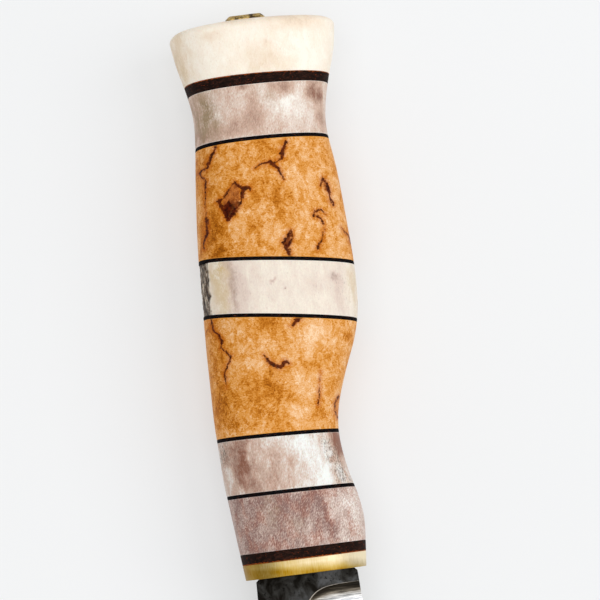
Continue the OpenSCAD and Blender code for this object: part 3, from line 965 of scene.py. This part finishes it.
piece, points = stack_block("middle_antler", 0.17, FINE_AROUND, recess=bark_recess)
paint_antler(
    piece, points, 0.16,
    shade=[(-58.5, -7.6, 12, 1.5, 0.5), (-58, -5.2, 8, 1.2, 0.2), (-59.8, -2.4, 2.4, 1.2, 0.2),
           (-57.8, 9.6, 2, 2.2, 0.25), (-59.3, 13.2, 1, 1, 0.36), (-57, 13.9, 6, 1.2, 0.24),
           (-59.5, 0, 0.6, 0.5, 0.5), (-57.4, 2.8, 0.3, 0.3, 0.7)],
    tan=[(-60, -10.2, 12, 2.0, 0.75), (-63.5, -9.6, 1.5, 1.6, 0.5), (-57, 17.2, 6, 1.2, 0.5)],
    pits=[(-57, 14.6, 5, 0.9, 0.26)])
paint(piece, "bark", bark_share(points[..., 0], points[..., 1]))
dress(piece, "middle_antler", antler_finish(
    "middle_antler_ivory", IVORY, STRAW, mottle=0.24, streak=0.14, hair=0.1, edge=0.4))

piece, points = pommel_block()
paint_antler(
    piece, points, 0.15,
    shade=[(-106, -14, 8, 3, 0.4), (-104.2, 5, 3.4, 5, 0.32), (-111.8, 12, 1.8, 5, 0.4),
           (-110.4, -5.7, 1.0, 1.4, 0.3), (-108.4, 5.7, 0.7, 0.8, 0.35), (-105, 12, 4, 3, -0.2),
           (-114, 4, 1.2, 14, 0.35)],
    tan=[(-105, -13.2, 5, 2.4, 0.5), (-112.5, -13, 2, 3, 0.3), (-104, 5, 2.4, 5, 0.16)])
dress(piece, "pommel_cap", antler_finish(
    "pommel_antler_cream", CREAM, STRAW, mottle=0.22, streak=0.06, hair=0.06, edge=0.3))

REAR_STROKES = [
    [(-88.5, -7.5, 0.1), (-86.3, -9.1, 0.15), (-84.6, -9.8, 0.12), (-84.0, -11.5, 0.06),
     (-81.8, -10.5, 0.04), (-75.6, -11.4, -0.12), (-73.9, -11.2, 0.14), (-70.5, -11.8, 0.12),
     (-68.3, -12.5, -0.02)],
    [(-87.4, 6.7, 0.15), (-85.4, 5.8, 0.42), (-84.3, 5.5, 0.15), (-83.2, 3.9, 0.05)],
    [(-82.9, -0.2, 0.02), (-83.4, 1.6, 0.12), (-83.6, 3.1, 0.28), (-82.2, 4.6, 0.2),
     (-79.9, 5.5, -0.1)],
    [(-80.4, -4.7, 0.05), (-79.0, -3.1, 0.25), (-76.1, -3.7, 0.1), (-73.0, -7.0, 0.2),
     (-77.1, -8.3, 0.25), (-77.8, -7.0, 0.0), (-80.4, -4.7, 0.0)],
    [(-79.0, -3.1, 0.35), (-79.2, -1.9, 0.15), (-78.6, -1.6, 0.08)],
    [(-79.0, -3.1, 0.3), (-77.0, -3.1, 0.08)],
    [(-76.4, -6.3, 0.3), (-75.6, -6.6, 0.7), (-74.4, -6.9, 0.4)],
    [(-77.8, 12.7, -0.05), (-79.5, 13.4, 0.12), (-78.4, 14.2, 0.2), (-75.2, 14.4, 0.12),
     (-74.0, 14.9, 0.15)],
    [(-71.8, 10.6, 0.15), (-72.8, 11.0, 0.1), (-72.9, 12.0, 0.0), (-72.2, 13.0, -0.05)],
    [(-71.9, 11.1, 0.1), (-71.1, 12.0, 0.12), (-70.1, 12.5, 0.05)],
    [(-69.1, 12.3, -0.12), (-66.9, 11.7, 0.0), (-65.3, 10.6, 0.25)],
    [(-69.2, 5.6, 0.05), (-67.8, 5.7, 0.08), (-66.0, 4.4, 0.15), (-67.0, 3.8, 0.08),
     (-69.2, 5.6, 0.05)],
    [(-66.0, 4.1, 0.2), (-64.4, 4.9, 0.15), (-63.8, 5.1, 0.2)],
    [(-69.2, 15.9, -0.1), (-67.5, 17.4, 0.05), (-66.2, 17.6, 0.05)]]
REAR_FILLS = [
    [(-79.6, -4.6, 0.9), (-77.6, -5.4, 1.7), (-75.2, -6.2, 1.7), (-73.6, -6.9, 0.7)],
    [(-68.4, 5.2, 0.4), (-66.6, 4.4, 0.7)],
    [(-78.6, 13.6, 0.4), (-77.2, 13.9, 0.5)]]
piece, points = stack_block("rear_birch", 0.17, FINE_AROUND)
draw_figure(piece, points, REAR_STROKES, REAR_FILLS)
paint(piece, "shade", spots(points, 0.0, [
    (-84, -11, 8, 3.0, 0.5), (-70, -10.6, 6, 2.6, 0.6), (-66, -8, 3, 3, 0.5),
    (-71.8, -9.5, 2, 2, 0.5), (-71.3, -1, 1.2, 1.8, 0.5), (-79.5, 0, 5, 5, 0.25),
    (-85.8, 1, 3, 5, 0.2), (-79.4, 9, 6, 4, -0.35), (-76, 4.8, 4, 3.4, 0.5),
    (-77, -12.5, 2.5, 2, -0.5), (-84, 10, 4, 4, 0.15), (-68, 8, 4, 6, -0.15),
    (-72, -4.5, 1.2, 3, -0.3)]))
dress(piece, "rear_birch", birch_finish("rear_curly_birch", 3))

FRONT_STROKES = [
    [(-53.6, -13.0, 0.1), (-51.7, -12.7, 0.08), (-49.0, -11.2, 0.14), (-47.5, -11.4, -0.02),
     (-45.5, -9.9, 0.12), (-43.8, -10.8, 0.08), (-42.0, -11.5, 0.08), (-39.2, -11.5, -0.12)],
    [(-51.8, 5.3, 0.5), (-50.8, 4.5, 0.35), (-50.0, 3.3, 0.1)],
    [(-44.6, -2.9, 0.06), (-43.3, -2.1, 0.15), (-42.2, -1.0, 0.2), (-42.1, 0.2, 0.28),
     (-42.9, 1.0, 0.3), (-42.5, 1.6, 0.15)],
    [(-40.3, 8.0, -0.16), (-36.5, 7.3, -0.1), (-33.6, 6.7, 0.06)],
    [(-34.9, 11.0, 0.0), (-33.4, 10.1, 0.05), (-31.3, 10.1, 0.0), (-30.4, 10.6, -0.02)]]
piece, points = stack_block("front_birch", 0.17, FINE_AROUND)
draw_figure(piece, points, FRONT_STROKES, [])
paint(piece, "shade", spots(points, 0.0, [
    (-36.3, -12.3, 3, 2, 0.7), (-31.7, -10.4, 2, 2.4, 0.8), (-33.2, -4.7, 1.3, 1.6, 0.7),
    (-36.2, 1.0, 1.2, 1.4, 0.5), (-32.5, 2.2, 3, 2.2, -0.7), (-48, 9.4, 3, 3, -1.0),
    (-40, -1.4, 3, 2.2, 0.5), (-31.9, 6.8, 1.3, 1.6, 0.6), (-41.2, 6.7, 1.4, 2, 0.3),
    (-45.9, 10.2, 3, 2, 0.4), (-51.3, -0.6, 1.5, 2.4, 0.5), (-49, -13, 8, 2.6, 0.4),
    (-36, -14, 9, 2.4, 0.15), (-47.5, -7.2, 2, 2.6, 0.0), (-42.9, -4.3, 1.6, 2.4, -0.5),
    (-38.6, 6.4, 3, 3.4, -0.45), (-40.5, -7.3, 3, 2.4, 0.25), (-47.2, 5.2, 4, 3.4, -0.4),
    (-37, -2, 3, 3, 0.3), (-47, 14.2, 1.4, 1.2, 0.5)]))
dress(piece, "front_birch", birch_finish("front_curly_birch", 11))

steel = forged_steel_finish()
dress(blade_piece(), "blade", steel)
dress(tang_piece(), None, steel)
dress(washer_piece(), "tang_washer", washer_finish())
# the adhesive is hidden, so its CAD node is kept and only gets a material
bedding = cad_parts["tang_bedding"]
bedding.data.materials.clear()
bedding.data.materials.append(bedding_finish())

# ---- floor, light and camera --------------------------------------------------------

# a sheet of pale paper on a light table: it shines a little by itself
bpy.ops.mesh.primitive_plane_add(size=6, location=(0, 0, cad_low.z))
floor = bpy.context.object
floor.name = "floor"
paper = Finish("pale_paper")
haze = paper.noise(paper.placed((0.004, 0.004, 0.004)), detail=2)
sheet = paper.ramp(haze, [(0.3, (0.44, 0.445, 0.45, 1)), (0.7, (0.46, 0.465, 0.47, 1))])
paper.put("Base Color", sheet)
paper.put("Roughness", 0.9)
paper.put("Specular IOR Level", 0.1)
paper.put("Emission Color", (0.99, 1.0, 1.0, 1))
paper.put("Emission Strength", 0.44)
floor.data.materials.append(paper.material)

# the room is a little brighter on the cutting edge's side
world = bpy.data.worlds.new("studio")
bpy.context.scene.world = world
world.use_nodes = True
sky = world.node_tree.nodes
direction = sky.new("ShaderNodeTexCoord").outputs["Generated"]
side = sky.new("ShaderNodeVectorMath")
side.operation = "DOT_PRODUCT"
side.inputs[1].default_value = (0.1, 0.75, 0.35)
world.node_tree.links.new(direction, side.inputs[0])
fade = sky.new("ShaderNodeValToRGB")
fade.color_ramp.elements[0].position = 0.0
fade.color_ramp.elements[0].color = (0.86, 0.86, 0.87, 1)
fade.color_ramp.elements[1].position = 0.8
fade.color_ramp.elements[1].color = (1.0, 1.0, 1.0, 1)
world.node_tree.links.new(side.outputs["Value"], fade.inputs["Fac"])
world.node_tree.links.new(fade.outputs["Color"], sky["Background"].inputs["Color"])
sky["Background"].inputs["Strength"].default_value = 0.62


def soft_light(name, place, aim, size, power):
    """A square studio panel at place, in metres, that faces aim."""
    data = bpy.data.lights.new(name, "AREA")
    data.shape = "SQUARE"
    data.size = size
    data.energy = power
    lamp = bpy.data.objects.new(name, data)
    lamp.location = place
    lamp.rotation_euler = (Vector(aim) - Vector(place)).to_track_quat("-Z", "Y").to_euler()
    bpy.context.scene.collection.objects.link(lamp)


middle = Vector((-55 * MM, 0, 0))
soft_light("edge_side_panel", (-0.06, 0.75, 0.80), middle, 0.7, 3.6)
soft_light("overhead_panel", (-0.05, -0.15, 1.5), middle, 1.2, 7.8)

bpy.context.scene.view_settings.view_transform = "Standard"
bpy.context.scene.view_settings.look = "None"

# the camera looks down on the handle, turned so that its axis leans a little
camera_data = bpy.data.cameras.new("camera")
camera_data.lens = 171.7
camera_data.sensor_width = 36
camera_data.clip_start = 0.05
camera = bpy.data.objects.new("camera", camera_data)
bpy.context.scene.collection.objects.link(camera)
eye = Vector((-4.26, -0.80, 588.5)) * MM
target = Vector((-55.89, 5.72, 0)) * MM
lean = math.radians(7.2)
down = Vector((math.cos(lean), -math.sin(lean), 0))
back = (eye - target).normalized()
across = back.cross(down).normalized()
up = back.cross(across).normalized()
camera.matrix_world = Matrix((
    (across.x, up.x, back.x, eye.x),
    (across.y, up.y, back.y, eye.y),
    (across.z, up.z, back.z, eye.z),
    (0, 0, 0, 1)))
bpy.context.scene.camera = camera
